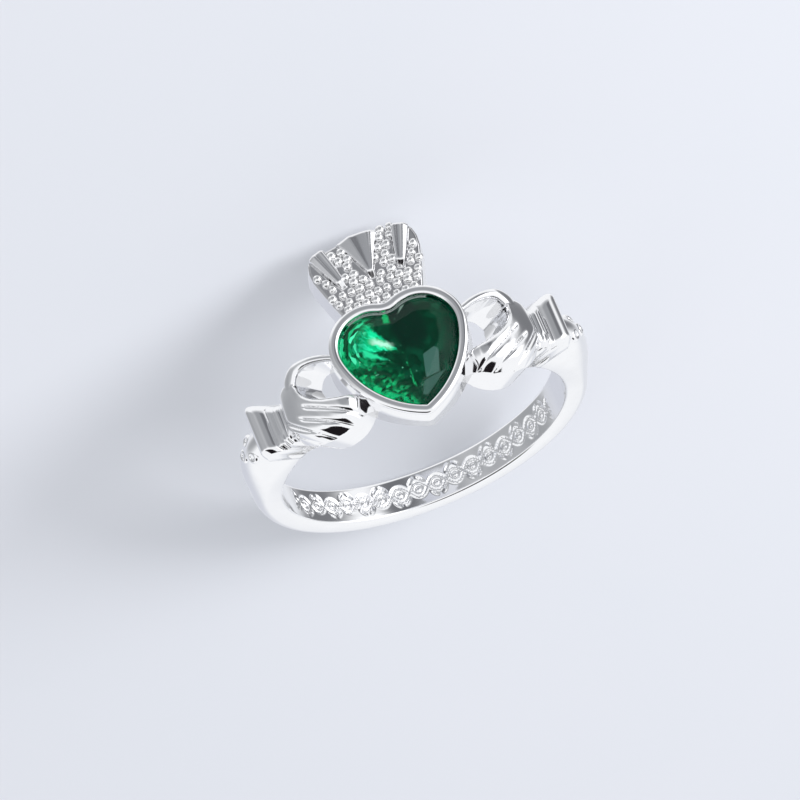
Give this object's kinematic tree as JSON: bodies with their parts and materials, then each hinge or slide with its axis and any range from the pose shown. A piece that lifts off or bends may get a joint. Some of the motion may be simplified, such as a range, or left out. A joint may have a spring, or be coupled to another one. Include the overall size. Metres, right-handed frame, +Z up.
{
  "type": "claddagh ring",
  "caption": "Finger ring in silver-coloured metal: clasping hands hold a crowned, heart-cut green stone in a rim setting, on a slim rounded band.",
  "frame": {"origin": "middle of the finger hole, halfway across the band under the finger", "axes": "+Z up as the ring lies on its side, on the crown's end and the band's edge; -Y the way the heart faces; +X to the right when the heart is seen from the front as it lies, crown down"},
  "size_m": [0.0208, 0.0221, 0.0113],
  "materials": {
    "silver": "polished cast silver, with mirror highlights",
    "green_stone": "clear emerald green, cut with flat polished facets"
  },
  "bodies": {
    "root": {"ring_body": "silver", "heart_stone": "green_stone"}
  },
  "joints": []
}
